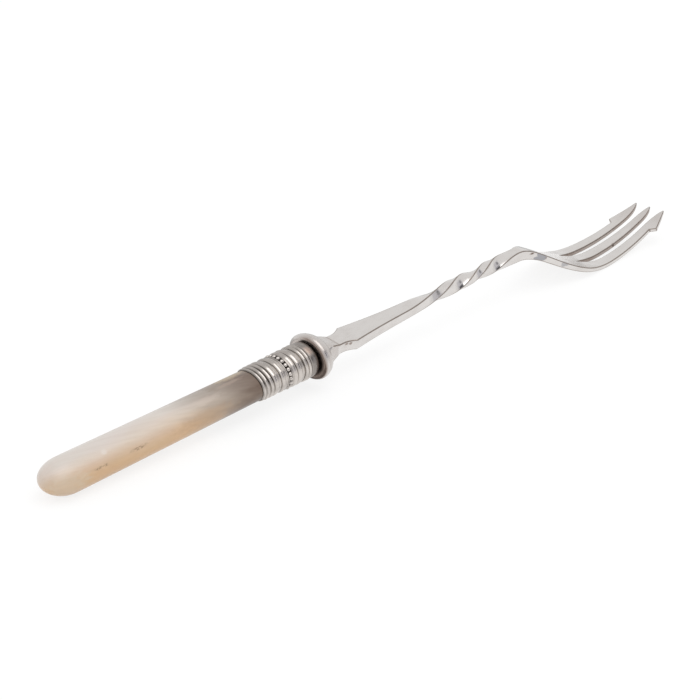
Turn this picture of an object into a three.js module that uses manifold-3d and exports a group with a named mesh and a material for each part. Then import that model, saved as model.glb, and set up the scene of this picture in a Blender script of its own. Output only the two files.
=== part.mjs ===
// A three-tined serving fork with a pearl handle, lying at rest on its butt and the belly of its tines.
// Millimetres, +Z up. The fork is drawn along +X on a straight axis whose zero is the back of the flange,
// then tilted to its resting pitch. The origin of the finished part is the bottom centre of its box.

import * as THREE from 'three';
import { mergeVertices } from 'three/addons/utils/BufferGeometryUtils.js';
import Module from 'manifold-3d';

const wasm = await Module();
wasm.setup();

// Clearances
const CLEARANCE = 0.3;
const RECESS = 0.55;

// Pearl handle
const PEARL_LENGTH = 57.2;
const BUTT_HALF_WIDTH = 4.8;
const BUTT_HALF_HEIGHT = 3.85;
const BUTT_ROUNDING = 6.5;
const PEARL_LIP = 0.15;

// Ferrule
const FERRULE_BACK_HALF_WIDTH = 4.62;
const FERRULE_BACK_HALF_HEIGHT = 3.46;
const FERRULE_FRONT_HALF_WIDTH = 4.52;
const FERRULE_FRONT_HALF_HEIGHT = 4.02;
const FERRULE_WALL = 0.6;
const REED_RISE = 0.25;
const BAND_RISE = 0.22;
const BEAD_RISE = 0.3;
const BEAD_COUNT = 22;
const LIP_WIDTH = 0.9;
const REED_WIDTH = 1.23;
const BAND_WIDTH = 2.3;
const NARROW_BAND_WIDTH = 1.9;
const BEAD_WIDTH = 1.75;
const BEAD_EDGE_WIDTH = 1.4;
const FRONT_REED_WIDTH = 1.03;
const MOUTH_WIDTH = 2.18;

// Tang and its cement
const TANG_LENGTH = 44;
const TANG_RADIUS = 0.95;
const CEMENT_WALL = 0.45;
const CEMENT_PLUG = 1.5;
const COLLAR_LENGTH = 2.2;

// Flange, bolster and flat shank
const FLANGE_HALF_WIDTH = 6.35;
const FLANGE_HALF_HEIGHT = 5.3;
const RIM_ROUNDING = 0.9;
const DOME_LENGTH = 2.8;
const DOME_DROP = 2.3;
const BOLSTER_HALF_WIDTH = 3.3;
const BOLSTER_HALF_HEIGHT = 3;
const BOLSTER_LENGTH = 4.5;
const NECK_HALF_WIDTH = 2.3;
const NECK_LENGTH = 1.4;
const SHOULDER_FLARE = 3.4;
const SHOULDER_HALF_WIDTH = 3.45;
const SHANK_TAPER = 39;
const TAPER_POWER = 2.6;
const SHANK_THICKNESS = 2.6;
const EDGE_ROUNDING = 0.22;

// Twisted stem
const BAR_WIDTH = 3.15;
const BAR_HEIGHT = 2.1;
const PLAIN_SHANK = 18.5;
const TWIST_LENGTH = 42.5;
const EASE_IN_SHARE = 0.47;
const EASE_OUT_SHARE = 0.19;
const HANDLE_ROLL = THREE.MathUtils.degToRad(7.2);
const TWIST_TURN = 2 * Math.PI + HANDLE_ROLL;

// Arch, head and tines
const CREST_RUN = 1;
const CREST_RISE = 0.8;
const CREST_APPROACH = 49;
const BELLY_RUN = 30.5;
const BELLY_DROP = 11.225;
const CREST_HANDLE = 6;
const CREST_SWELL = 0.5;
const SWELL_APPROACH = 8;
const SWELL_RUN = 7;
const BELLY_HANDLE = 15.5;
const TINE_RUN = 26.8;
const TINE_RISE = 5.1;
const HEAD_FLARE = 23;
const FLARE_POWER = 1.4;
const HEAD_HALF_WIDTH = 8.1;
const HEAD_THICKNESS = 1.2;
const HEAD_CROWN = 0.55;
const CROWN_RUN = 18;
const CROWN_FADE = 10;
const TIP_THICKNESS = 1.05;
const SLOT_LENGTH = 36.2;
const SLOT_POINT = 5;
const ROOT_TAPER = 9;
const ROOT_FULLNESS = 0.25;
const SLOT_CENTRE = 2.85;
const SLOT_WIDTH = 2.1;
const MIDDLE_TINE_END = 1.25;
const INNER_EDGE_END = 3.1;
const TIP_WIDTH = 0.4;
const TIP_SPREAD = 4.5;
const TIP_TAPER = 6.5;
const FAR_BARB_LENGTH = 8.7;
const NEAR_BARB_LENGTH = 6.8;
const BARB_HALF_WIDTH = 7.25;
const NOTCH_SETBACK = 1.1;
const NOTCH_HALF_WIDTH = 5.75;

// Facets
const CORNER_STEPS = 4;
const FLAT_STEPS = 4;
const ROUNDEST = 0.95;
const OVAL_POINTS = 32;
const POINTS_PER_BEAD = 2;
const SHANK_STATIONS = 4;
const TWIST_STATIONS = 44;
const ARCH_STATIONS = 14;
const TINE_STATIONS = 9;

// The ferrule's bands are rounded all over, or swell at the back and run out flat. Each point of a profile is
// a share of the band's width and of its rise.
const rounded = [[0.04, 0.1], [0.25, 0.8], [0.5, 1], [0.75, 0.8], [0.96, 0.1]];
const swelled = [[0.04, 0.1], [0.15, 0.8], [0.29, 1], [0.43, 0.8], [0.58, 0.1]];

// The bands from back to front, each a width, a rise, a profile and whether it is beaded
const lip = [LIP_WIDTH, BAND_RISE, rounded, false];
const reed = [REED_WIDTH, REED_RISE, rounded, false];
const band = [BAND_WIDTH, BAND_RISE, swelled, false];
const narrowBand = [NARROW_BAND_WIDTH, BAND_RISE, swelled, false];
const beads = [BEAD_WIDTH, BEAD_RISE, rounded, true];
const beadEdge = [BEAD_EDGE_WIDTH, BAND_RISE, rounded, false];
const frontReed = [FRONT_REED_WIDTH, REED_RISE, rounded, false];
const ferruleBands = [lip, reed, reed, band, narrowBand, beads, beadEdge, band, frontReed, frontReed];

// Places along the axis that follow from the sizes
const ferruleFront = -RECESS;
const ferruleLength = ferruleBands.reduce((sum, [width]) => sum + width, MOUTH_WIDTH);
const ferruleBack = ferruleFront - ferruleLength;
const pearlFront = ferruleBack - CLEARANCE;
const buttEnd = pearlFront - PEARL_LENGTH;
const collarBack = ferruleFront - COLLAR_LENGTH;
const spigotFront = collarBack - CLEARANCE;
const tangEnd = collarBack - TANG_LENGTH;
const bolsterX = RIM_ROUNDING + DOME_LENGTH;
const neckX = bolsterX + BOLSTER_LENGTH;
const shoulderX = neckX + NECK_LENGTH + SHOULDER_FLARE;
const twistX = shoulderX + PLAIN_SHANK;
const archX = twistX + TWIST_LENGTH;
const crestX = archX + CREST_RUN;
const bellyX = crestX + BELLY_RUN;
const tipX = bellyX + TINE_RUN;
const rootX = tipX - SLOT_LENGTH;
const crestTop = BAR_HEIGHT / 2 + CREST_RISE;
const bellyTop = crestTop - BELLY_DROP;
const tipTop = bellyTop + TINE_RISE;

// Half sizes that follow from a neighbour and its clearance
const boreHalfWidth = FERRULE_BACK_HALF_WIDTH - FERRULE_WALL;
const boreHalfHeight = FERRULE_BACK_HALF_HEIGHT - FERRULE_WALL;
const mouthHalfWidth = FERRULE_FRONT_HALF_WIDTH - FERRULE_WALL;
const mouthHalfHeight = FERRULE_FRONT_HALF_HEIGHT - FERRULE_WALL;
const cementInner = TANG_RADIUS + CLEARANCE;
const cementOuter = cementInner + CEMENT_WALL;
const tangBore = cementOuter + CLEARANCE;

// An oval ring of points across the axis.
function ovalRing(x, halfWidth, halfHeight, count = OVAL_POINTS) {
  return Array.from({ length: count }, (_, i) => {
    const angle = (2 * Math.PI * i) / count;
    return new THREE.Vector3(x, halfWidth * Math.cos(angle), halfHeight * Math.sin(angle));
  });
}

// A rectangle with oval corners, bowed by its crown, turned about the axis and then lifted.
function cornerRing(shape) {
  const { x, halfWidth, halfHeight, cornerWidth, cornerHeight, crown = 0, turn = 0, lift = 0 } = shape;
  const outline = [];
  const roundY = Math.min(cornerWidth, ROUNDEST * halfWidth);
  const roundZ = Math.min(cornerHeight, ROUNDEST * halfHeight);
  const flat = halfWidth - roundY;
  for (const [side, top, first] of [[1, 1, 0], [-1, 1, 1], [-1, -1, 2], [1, -1, 3]]) {
    for (let step = 0; step <= CORNER_STEPS; step += 1) {
      const angle = (Math.PI / 2) * (first + step / CORNER_STEPS);
      const y = side * flat + roundY * Math.cos(angle);
      const z = top * (halfHeight - roundZ) + roundZ * Math.sin(angle);
      outline.push([y, z]);
    }
    const endsOnFlat = side === top;
    for (let step = 1; endsOnFlat && step < FLAT_STEPS; step += 1) {
      outline.push([side * flat * (1 - (2 * step) / FLAT_STEPS), top * halfHeight]);
    }
  }
  return outline.map(([y, z]) => {
    const bowed = z + crown * (1 - (y / halfWidth) ** 2);
    return new THREE.Vector3(
      x,
      y * Math.cos(turn) - bowed * Math.sin(turn),
      y * Math.sin(turn) + bowed * Math.cos(turn) + lift,
    );
  });
}

// Joins rings of equal count into a skin, which is capped at both ends unless it loops back on itself.
function skin(rings, looped = false) {
  const count = rings[0].length;
  const points = rings.flat();
  const index = [];
  const last = looped ? rings.length : rings.length - 1;
  for (let r = 0; r < last; r += 1) {
    const near = r * count;
    const far = ((r + 1) % rings.length) * count;
    for (let i = 0; i < count; i += 1) {
      const next = (i + 1) % count;
      index.push(near + i, near + next, far + next, near + i, far + next, far + i);
    }
  }
  if (!looped) {
    for (const [start, flip] of [[0, true], [(rings.length - 1) * count, false]]) {
      const centre = new THREE.Vector3();
      for (let i = 0; i < count; i += 1) centre.addScaledVector(points[start + i], 1 / count);
      points.push(centre);
      const hub = points.length - 1;
      for (let i = 0; i < count; i += 1) {
        const next = (i + 1) % count;
        index.push(start + i, ...(flip ? [hub, start + next] : [start + next, hub]));
      }
    }
  }
  const geometry = new THREE.BufferGeometry().setFromPoints(points);
  geometry.setIndex(index);
  return geometry;
}

// A solid for cutting, from any closed geometry.
function solid(geometry) {
  const bare = geometry.clone();
  bare.deleteAttribute('normal');
  bare.deleteAttribute('uv');
  const merged = mergeVertices(bare, 1e-5);
  const vertProperties = new Float32Array(merged.attributes.position.array);
  const triVerts = new Uint32Array(merged.index.array);
  return new wasm.Manifold(new wasm.Mesh({ numProp: 3, vertProperties, triVerts }));
}

function geometryOf(body) {
  const mesh = body.getMesh();
  const geometry = new THREE.BufferGeometry();
  geometry.setAttribute('position', new THREE.BufferAttribute(new Float32Array(mesh.vertProperties), 3));
  geometry.setIndex(new THREE.BufferAttribute(new Uint32Array(mesh.triVerts), 1));
  return geometry;
}

function named(name, geometry, look) {
  geometry.computeVertexNormals();
  const mesh = new THREE.Mesh(geometry, new THREE.MeshStandardMaterial(look));
  mesh.name = name;
  return mesh;
}

// Half sizes of the ferrule's plain surface at a place along the axis.
function ferruleHalf(x) {
  const share = (x - ferruleBack) / ferruleLength;
  return {
    width: THREE.MathUtils.lerp(FERRULE_BACK_HALF_WIDTH, FERRULE_FRONT_HALF_WIDTH, share),
    height: THREE.MathUtils.lerp(FERRULE_BACK_HALF_HEIGHT, FERRULE_FRONT_HALF_HEIGHT, share),
  };
}

// The pearl: a domed butt, a long oval body, a spigot for the ferrule and a blind hole for the tang.
function pearlHandle() {
  const frontWidth = FERRULE_BACK_HALF_WIDTH - PEARL_LIP;
  const frontHeight = FERRULE_BACK_HALF_HEIGHT - PEARL_LIP;
  const rings = [];
  const domeSteps = 7;
  for (let step = 1; step <= domeSteps; step += 1) {
    const angle = (Math.PI / 2) * (step / domeSteps);
    const x = buttEnd + BUTT_ROUNDING * (1 - Math.cos(angle));
    rings.push(ovalRing(x, BUTT_HALF_WIDTH * Math.sin(angle), BUTT_HALF_HEIGHT * Math.sin(angle)));
  }
  rings.push(ovalRing(pearlFront, frontWidth, frontHeight));
  const spigotWidth = boreHalfWidth - CLEARANCE;
  const spigotHeight = boreHalfHeight - CLEARANCE;
  rings.push(ovalRing(pearlFront, spigotWidth, spigotHeight));
  rings.push(ovalRing(spigotFront, spigotWidth, spigotHeight));
  const boreEnd = tangEnd - 2 * CLEARANCE - CEMENT_PLUG;
  rings.push(ovalRing(spigotFront, tangBore, tangBore));
  rings.push(ovalRing(boreEnd, tangBore, tangBore));
  return skin(rings);
}

// The cement: a sleeve round the tang, closed at its deep end.
function tangCement() {
  const deepEnd = tangEnd - CLEARANCE - CEMENT_PLUG;
  return skin([
    ovalRing(deepEnd, cementOuter, cementOuter),
    ovalRing(spigotFront, cementOuter, cementOuter),
    ovalRing(spigotFront, cementInner, cementInner),
    ovalRing(tangEnd - CLEARANCE, cementInner, cementInner),
  ]);
}

// The ferrule: bands from back to front over an oval sleeve, with a wider mouth for the fork's collar.
function ferrule() {
  const count = BEAD_COUNT * POINTS_PER_BEAD;
  const rings = [];
  const ring = (place, rise, beaded = false) => {
    const half = ferruleHalf(place);
    const points = ovalRing(place, half.width, half.height, count);
    points.forEach((point, i) => {
      const share = beaded && i % POINTS_PER_BEAD !== 0 ? 0 : 1;
      const outward = new THREE.Vector3(0, point.y / half.width, point.z / half.height).normalize();
      point.addScaledVector(outward, rise * share);
    });
    rings.push(points);
  };
  ring(ferruleBack, 0);
  let x = ferruleBack;
  for (const [width, rise, profile, beaded] of ferruleBands) {
    for (const [place, share] of profile) {
      ring(x + place * width, rise * share, beaded);
    }
    x += width;
  }
  ring(x, 0);
  ring(ferruleFront, 0);
  rings.push(ovalRing(ferruleFront, mouthHalfWidth, mouthHalfHeight, count));
  rings.push(ovalRing(spigotFront, mouthHalfWidth, mouthHalfHeight, count));
  rings.push(ovalRing(spigotFront - CLEARANCE, boreHalfWidth, boreHalfHeight, count));
  rings.push(ovalRing(ferruleBack, boreHalfWidth, boreHalfHeight, count));
  return skin(rings, true);
}

// How far the stem has turned: it eases in, runs evenly and eases out.
function stemTurn(x) {
  const run = THREE.MathUtils.clamp((x - twistX) / TWIST_LENGTH, 0, 1);
  const rate = TWIST_TURN / (1 - (EASE_IN_SHARE + EASE_OUT_SHARE) / 2);
  let turned = rate * (run - EASE_IN_SHARE / 2);
  if (run < EASE_IN_SHARE) turned = (rate * run * run) / (2 * EASE_IN_SHARE);
  if (run > 1 - EASE_OUT_SHARE) turned = TWIST_TURN - (rate * (1 - run) ** 2) / (2 * EASE_OUT_SHARE);
  return HANDLE_ROLL - turned;
}

// The shank narrows into the stem, quickly at first, and thins evenly.
function stemHalfWidth(x) {
  const left = 1 - THREE.MathUtils.clamp((x - shoulderX) / SHANK_TAPER, 0, 1);
  return THREE.MathUtils.lerp(BAR_WIDTH / 2, SHOULDER_HALF_WIDTH, left ** TAPER_POWER);
}

// The bar is a little stouter below the crest of the arch.
function crestSwell(x) {
  const grown = THREE.MathUtils.smoothstep(x, archX - SWELL_APPROACH, crestX);
  return CREST_SWELL * grown * (1 - THREE.MathUtils.smoothstep(x, crestX, crestX + SWELL_RUN));
}

function stemHalfHeight(x) {
  const share = THREE.MathUtils.clamp((x - shoulderX) / SHANK_TAPER, 0, 1);
  return (THREE.MathUtils.lerp(SHANK_THICKNESS, BAR_HEIGHT, share) + crestSwell(x)) / 2;
}

// The top of the arch and head, seen from the side.
const archCurve = new THREE.CubicBezierCurve(
  new THREE.Vector2(crestX, crestTop),
  new THREE.Vector2(crestX + CREST_HANDLE, crestTop),
  new THREE.Vector2(bellyX - BELLY_HANDLE, bellyTop),
  new THREE.Vector2(bellyX, bellyTop),
);
const tineCurve = new THREE.QuadraticBezierCurve(
  new THREE.Vector2(bellyX, bellyTop),
  new THREE.Vector2(bellyX + TINE_RUN / 2, bellyTop),
  new THREE.Vector2(tipX, tipTop),
);

// Half the head's width where it flares from the bar, before the tines are cut.
function headHalfWidth(x) {
  const share = THREE.MathUtils.clamp((x - archX) / HEAD_FLARE, 0, 1);
  const grown = Math.sin((share * Math.PI) / 2) ** FLARE_POWER;
  return THREE.MathUtils.lerp(BAR_WIDTH / 2, HEAD_HALF_WIDTH, grown);
}

// The bow across the head, which grows along the flare and dies away past the roots of the slots.
function headCrown(x) {
  const grown = THREE.MathUtils.smoothstep(x, archX, archX + CROWN_RUN);
  const faded = THREE.MathUtils.smoothstep(x, rootX - SLOT_POINT, rootX + CROWN_FADE);
  return HEAD_CROWN * grown * (1 - faded);
}

// The stem lifts a little towards the crest of the arch.
function stemLift(x) {
  return CREST_RISE * THREE.MathUtils.smoothstep(x, archX - CREST_APPROACH, crestX) - crestSwell(x) / 2;
}

function headThickness(x) {
  const headEnd = archX + HEAD_FLARE;
  if (x < headEnd) {
    return THREE.MathUtils.lerp(BAR_HEIGHT, HEAD_THICKNESS, (x - archX) / HEAD_FLARE) + crestSwell(x);
  }
  return THREE.MathUtils.lerp(HEAD_THICKNESS, TIP_THICKNESS, (x - headEnd) / (tipX - headEnd));
}

// The forging as one skin from the tang's end to the line of the tine tips, before the tines are cut.
function forgingRings() {
  const rings = [];
  const round = (x, halfWidth, halfHeight) => rings.push(cornerRing({
    x, halfWidth, halfHeight, cornerWidth: halfWidth, cornerHeight: halfHeight, turn: HANDLE_ROLL,
  }));
  const flat = (x, halfWidth, halfHeight) => rings.push(cornerRing({
    x,
    halfWidth,
    halfHeight,
    cornerWidth: EDGE_ROUNDING,
    cornerHeight: EDGE_ROUNDING,
    turn: stemTurn(x),
    lift: stemLift(x),
  }));

  round(tangEnd, TANG_RADIUS, TANG_RADIUS);
  round(collarBack, TANG_RADIUS, TANG_RADIUS);
  const collarWidth = mouthHalfWidth - CLEARANCE;
  const collarHeight = mouthHalfHeight - CLEARANCE;
  round(collarBack, collarWidth, collarHeight);
  round(0, collarWidth, collarHeight);

  for (const share of [-1, -0.67, -0.33, 0, 0.22, 0.44, 0.66, 0.88]) {
    const angle = (Math.PI / 2) * share;
    const reach = share < 0 ? RIM_ROUNDING : DOME_LENGTH;
    const drop = (share < 0 ? RIM_ROUNDING : DOME_DROP) * (1 - Math.cos(angle));
    round(RIM_ROUNDING + reach * Math.sin(angle), FLANGE_HALF_WIDTH - drop, FLANGE_HALF_HEIGHT - drop);
  }
  const shankHalf = SHANK_THICKNESS / 2;
  const bolsterSteps = 4;
  for (let step = 0; step <= bolsterSteps; step += 1) {
    const share = step / bolsterSteps;
    const halfWidth = THREE.MathUtils.lerp(BOLSTER_HALF_WIDTH, NECK_HALF_WIDTH, share);
    const halfHeight = THREE.MathUtils.lerp(BOLSTER_HALF_HEIGHT, shankHalf, share);
    rings.push(cornerRing({
      x: bolsterX + share * BOLSTER_LENGTH,
      halfWidth,
      halfHeight,
      cornerWidth: THREE.MathUtils.lerp(halfWidth / 2, EDGE_ROUNDING, share),
      cornerHeight: THREE.MathUtils.lerp(halfHeight / 2, EDGE_ROUNDING, share),
      turn: HANDLE_ROLL,
    }));
  }

  flat(neckX + NECK_LENGTH, NECK_HALF_WIDTH, shankHalf);
  const flareSteps = 5;
  for (let step = 1; step <= flareSteps; step += 1) {
    const share = step / flareSteps;
    const halfWidth = THREE.MathUtils.lerp(NECK_HALF_WIDTH, SHOULDER_HALF_WIDTH, share * share);
    flat(neckX + NECK_LENGTH + share * SHOULDER_FLARE, halfWidth, shankHalf);
  }
  for (const [start, end, stations] of [[shoulderX, twistX, SHANK_STATIONS], [twistX, archX, TWIST_STATIONS]]) {
    for (let step = 1; step <= stations; step += 1) {
      const x = THREE.MathUtils.lerp(start, end, step / stations);
      flat(x, stemHalfWidth(x), stemHalfHeight(x));
    }
  }

  const plate = (x, top, slope) => {
    const upright = headThickness(x) * Math.hypot(1, slope);
    rings.push(cornerRing({
      x,
      halfWidth: headHalfWidth(x),
      halfHeight: upright / 2,
      cornerWidth: EDGE_ROUNDING,
      cornerHeight: EDGE_ROUNDING,
      crown: headCrown(x),
      lift: top - upright / 2,
    }));
  };
  const risingX = (archX + crestX) / 2;
  plate(risingX, stemHalfHeight(risingX) + stemLift(risingX), 0);
  for (const [curve, stations] of [[archCurve, ARCH_STATIONS], [tineCurve, TINE_STATIONS]]) {
    const first = curve === archCurve ? 0 : 1;
    for (let step = first; step <= stations; step += 1) {
      const share = step / stations;
      const point = curve.getPoint(share);
      const along = curve.getTangent(share);
      plate(point.x, point.y, along.y / along.x);
    }
  }
  return rings;
}

// Everything that is cut away round the tines, in plan, drawn for the side with positive Y.
function tineCuts(barbLength) {
  const beyond = tipX + TIP_TAPER;
  const slotInner = SLOT_CENTRE - SLOT_WIDTH / 2;
  const slotOuter = SLOT_CENTRE + SLOT_WIDTH / 2;
  const narrowX = tipX - TIP_TAPER;

  const slot = new THREE.Shape();
  slot.moveTo(rootX, SLOT_CENTRE);
  const fullX = rootX + ROOT_FULLNESS * ROOT_TAPER;
  slot.quadraticCurveTo(fullX, slotInner, rootX + ROOT_TAPER, slotInner);
  slot.lineTo(narrowX, MIDDLE_TINE_END);
  slot.quadraticCurveTo(tipX - TIP_TAPER / 3, MIDDLE_TINE_END, tipX, TIP_WIDTH / 2);
  slot.lineTo(beyond, TIP_WIDTH / 2);
  slot.lineTo(beyond, TIP_SPREAD - TIP_WIDTH / 2);
  slot.lineTo(tipX, TIP_SPREAD - TIP_WIDTH / 2);
  slot.quadraticCurveTo(tipX - TIP_TAPER / 3, INNER_EDGE_END, narrowX, INNER_EDGE_END);
  slot.lineTo(rootX + ROOT_TAPER, slotOuter);
  slot.quadraticCurveTo(fullX, slotOuter, rootX, SLOT_CENTRE);

  const clear = 2 * HEAD_HALF_WIDTH;
  const barbX = tipX - barbLength;
  const notchX = barbX - NOTCH_SETBACK;
  const edge = new THREE.Shape();
  edge.moveTo(archX + HEAD_FLARE - SLOT_POINT, HEAD_HALF_WIDTH + TIP_WIDTH);
  edge.lineTo(notchX, NOTCH_HALF_WIDTH);
  edge.lineTo(barbX, BARB_HALF_WIDTH);
  edge.lineTo(tipX, TIP_SPREAD + TIP_WIDTH / 2);
  edge.lineTo(beyond, TIP_SPREAD + TIP_WIDTH / 2);
  edge.lineTo(beyond, clear);
  edge.lineTo(archX + HEAD_FLARE - SLOT_POINT, clear);
  edge.closePath();
  return [slot, edge];
}

// The fork: the skin of the forging, less the slots and the edges outside the tines.
function fork() {
  let body = solid(skin(forgingRings()));
  const depth = 4 * BELLY_DROP;
  for (const [barbLength, turn] of [[FAR_BARB_LENGTH, 0], [NEAR_BARB_LENGTH, Math.PI]]) {
    for (const shape of tineCuts(barbLength)) {
      const cutter = new THREE.ExtrudeGeometry(shape, { depth, bevelEnabled: false, curveSegments: 5 });
      cutter.translate(0, 0, -depth / 2).rotateX(turn);
      body = body.subtract(solid(cutter));
    }
  }
  return geometryOf(body);
}

const handleGroup = new THREE.Group();
handleGroup.rotation.x = HANDLE_ROLL;
handleGroup.add(
  named('pearl_handle', pearlHandle(), { color: 0xd8cdc0, roughness: 0.25, metalness: 0 }),
  named('ferrule', ferrule(), { color: 0xb9b3ab, roughness: 0.3, metalness: 1 }),
  named('tang_cement', tangCement(), { color: 0x4a3526, roughness: 0.8, metalness: 0 }),
);

// The fork rests on the rounded butt and on the belly of the tines, which sets its pitch.
const buttContact = new THREE.Vector2(buttEnd + BUTT_ROUNDING, -BUTT_HALF_HEIGHT);
const bellyContact = new THREE.Vector2(bellyX, bellyTop - HEAD_THICKNESS);
const pitch = Math.atan2(buttContact.y - bellyContact.y, bellyContact.x - buttContact.x);
const tilted = new THREE.Group();
tilted.rotation.y = -pitch;
tilted.add(handleGroup, named('fork', fork(), { color: 0xc9c7c4, roughness: 0.22, metalness: 1 }));

const part = new THREE.Group();
part.add(tilted);
part.updateMatrixWorld(true);
const box = new THREE.Box3().setFromObject(part, true);
tilted.position.set(-(box.min.x + box.max.x) / 2, -(box.min.y + box.max.y) / 2, -box.min.z);
part.updateMatrixWorld(true);

export default part;
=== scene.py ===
import math

import bmesh
import bpy
from mathutils import Matrix, Vector
from mathutils.geometry import interpolate_bezier


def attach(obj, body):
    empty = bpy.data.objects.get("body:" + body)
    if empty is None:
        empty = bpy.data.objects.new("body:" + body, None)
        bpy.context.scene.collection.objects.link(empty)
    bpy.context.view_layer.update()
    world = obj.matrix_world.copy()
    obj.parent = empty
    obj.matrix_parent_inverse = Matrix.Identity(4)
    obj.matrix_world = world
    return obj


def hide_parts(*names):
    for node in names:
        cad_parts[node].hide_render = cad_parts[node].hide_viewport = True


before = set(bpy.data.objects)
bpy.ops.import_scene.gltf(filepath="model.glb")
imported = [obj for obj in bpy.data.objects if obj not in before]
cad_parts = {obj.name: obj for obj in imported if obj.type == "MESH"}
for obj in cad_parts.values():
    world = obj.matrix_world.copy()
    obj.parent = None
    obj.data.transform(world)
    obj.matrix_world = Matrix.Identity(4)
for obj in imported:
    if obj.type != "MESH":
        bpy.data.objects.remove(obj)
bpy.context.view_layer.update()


# The pearl handle is one piece of shell, ground to an oval and domed at the butt.
# Its front steps down to a spigot that the ferrule grips, and a blind hole runs back for the tang.
# Every piece is drawn in millimetres round the fork's own axis, then laid down as it rests.
REST_PLACE = Vector((-0.0286477, 0, 0.0065133))
REST_PITCH = -0.0385638
HANDLE_ROLL = math.radians(7.2)
MILLIMETRE = 0.001
WELD = 1e-4
fork_lay = (Matrix.Translation(REST_PLACE) @ Matrix.Rotation(REST_PITCH, 4, "Y")
            @ Matrix.Scale(MILLIMETRE, 4))
handle_lay = fork_lay @ Matrix.Rotation(HANDLE_ROLL, 4, "X")


def turn_on_axis(bm, points, edges, steps):
    bmesh.ops.spin(bm, geom=points + edges, cent=(0, 0, 0), axis=(1, 0, 0), angle=2 * math.pi,
                   steps=steps, use_merge=True)
    bmesh.ops.remove_doubles(bm, verts=bm.verts, dist=WELD)


def set_down(bm, name, lay, node_name):
    bmesh.ops.recalc_face_normals(bm, faces=bm.faces)
    bmesh.ops.transform(bm, matrix=lay, verts=bm.verts)
    mesh = bpy.data.meshes.new(name)
    bm.to_mesh(mesh)
    bm.free()
    mesh.shade_smooth()
    piece = bpy.data.objects.new(name, mesh)
    bpy.context.scene.collection.objects.link(piece)
    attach(piece, "root")
    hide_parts(node_name)
    return piece


def between(low, high, share):
    return low + (high - low) * share


def eased(value, low, high):
    share = min(max((value - low) / (high - low), 0), 1)
    return share * share * (3 - 2 * share)


BUTT_X, PEARL_X, SPIGOT_X, HOLE_X = -75.13, -17.88, -3.05, -48.6
BUTT_ROUNDING, BUTT_LIFT = 6.5, 0.3
BUTT_HALF_WIDTH, BUTT_HALF_HEIGHT = 4.8, 3.85
FRONT_HALF_WIDTH, FRONT_HALF_HEIGHT = 4.47, 3.31
SPIGOT_SHARE, HOLE_SHARE = 0.82, 0.58
dome_angles = [math.pi / 2 * step / 20 for step in range(20)]
handle_outline = [(BUTT_X + BUTT_ROUNDING * (1 - math.cos(angle)), math.sin(angle))
                  for angle in dome_angles]
handle_outline += [(between(BUTT_X + BUTT_ROUNDING, PEARL_X - 0.4, step / 24), 1) for step in range(25)]
handle_outline += [(PEARL_X - 0.15, 0.992), (PEARL_X, 0.965), (PEARL_X, SPIGOT_SHARE)]
handle_outline += [(SPIGOT_X, SPIGOT_SHARE), (SPIGOT_X, HOLE_SHARE), (HOLE_X, HOLE_SHARE), (HOLE_X, 0)]
bm = bmesh.new()
points = [bm.verts.new((x, 0, radius)) for x, radius in handle_outline]
edges = [bm.edges.new(pair) for pair in zip(points, points[1:])]
turn_on_axis(bm, points, edges, 72)
for point in bm.verts:
    along = (point.co.x - BUTT_X) / (PEARL_X - BUTT_X)
    point.co.y *= between(BUTT_HALF_WIDTH, FRONT_HALF_WIDTH, along)
    point.co.z *= between(BUTT_HALF_HEIGHT, FRONT_HALF_HEIGHT, along)
    point.co.z += BUTT_LIFT * max(0, 1 - (point.co.x - BUTT_X) / BUTT_ROUNDING) ** 2
pearl_handle = set_down(bm, "pearl_handle_shell", handle_lay, "pearl_handle")


def put(tree, kind, sockets=None, **settings):
    made = tree.nodes.new(kind)
    for name, value in settings.items():
        setattr(made, name, value)
    for name, value in (sockets or {}).items():
        if isinstance(value, bpy.types.NodeSocket):
            tree.links.new(value, made.inputs[name])
        else:
            made.inputs[name].default_value = value
    return made


def reckon(tree, operation, first, second=0.0, third=0.0):
    return put(tree, "ShaderNodeMath", {0: first, 1: second, 2: third}, operation=operation).outputs[0]


def stepped(tree, value, low, high, start=0.0, end=1.0):
    return put(tree, "ShaderNodeMapRange", {0: value, 1: low, 2: high, 3: start, 4: end},
               interpolation_type="SMOOTHSTEP").outputs[0]


def mixed(tree, share, first, second, blend="MIX"):
    made = put(tree, "ShaderNodeMix", {0: share, 6: first, 7: second}, data_type="RGBA", blend_type=blend)
    return made.outputs[2]


def grain(tree, place, stretch, scale, detail=3.0, rough=0.5):
    spread = put(tree, "ShaderNodeMapping", {"Vector": place, "Scale": stretch})
    return put(tree, "ShaderNodeTexNoise", {"Vector": spread.outputs[0], "Scale": scale,
                                            "Detail": detail, "Roughness": rough}).outputs[0]


def fresh_finish(name):
    finish = bpy.data.materials.new(name)
    finish.use_nodes = True
    return finish, finish.node_tree, finish.node_tree.nodes["Principled BSDF"]


def feed(tree, surface, colour, roughness, normal):
    for socket, value in (("Base Color", colour), ("Roughness", roughness), ("Normal", normal)):
        tree.links.new(value, surface.inputs[socket])


# Places in a finish are read in millimetres along, across and above the fork's own axis.
def along_fork(tree, roll):
    coords = put(tree, "ShaderNodeTexCoord").outputs["Object"]
    return put(tree, "ShaderNodeMapping", {"Vector": coords, "Location": REST_PLACE,
                                           "Rotation": (roll, REST_PITCH, 0),
                                           "Scale": (MILLIMETRE, MILLIMETRE, MILLIMETRE)},
               vector_type="TEXTURE").outputs[0]


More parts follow.
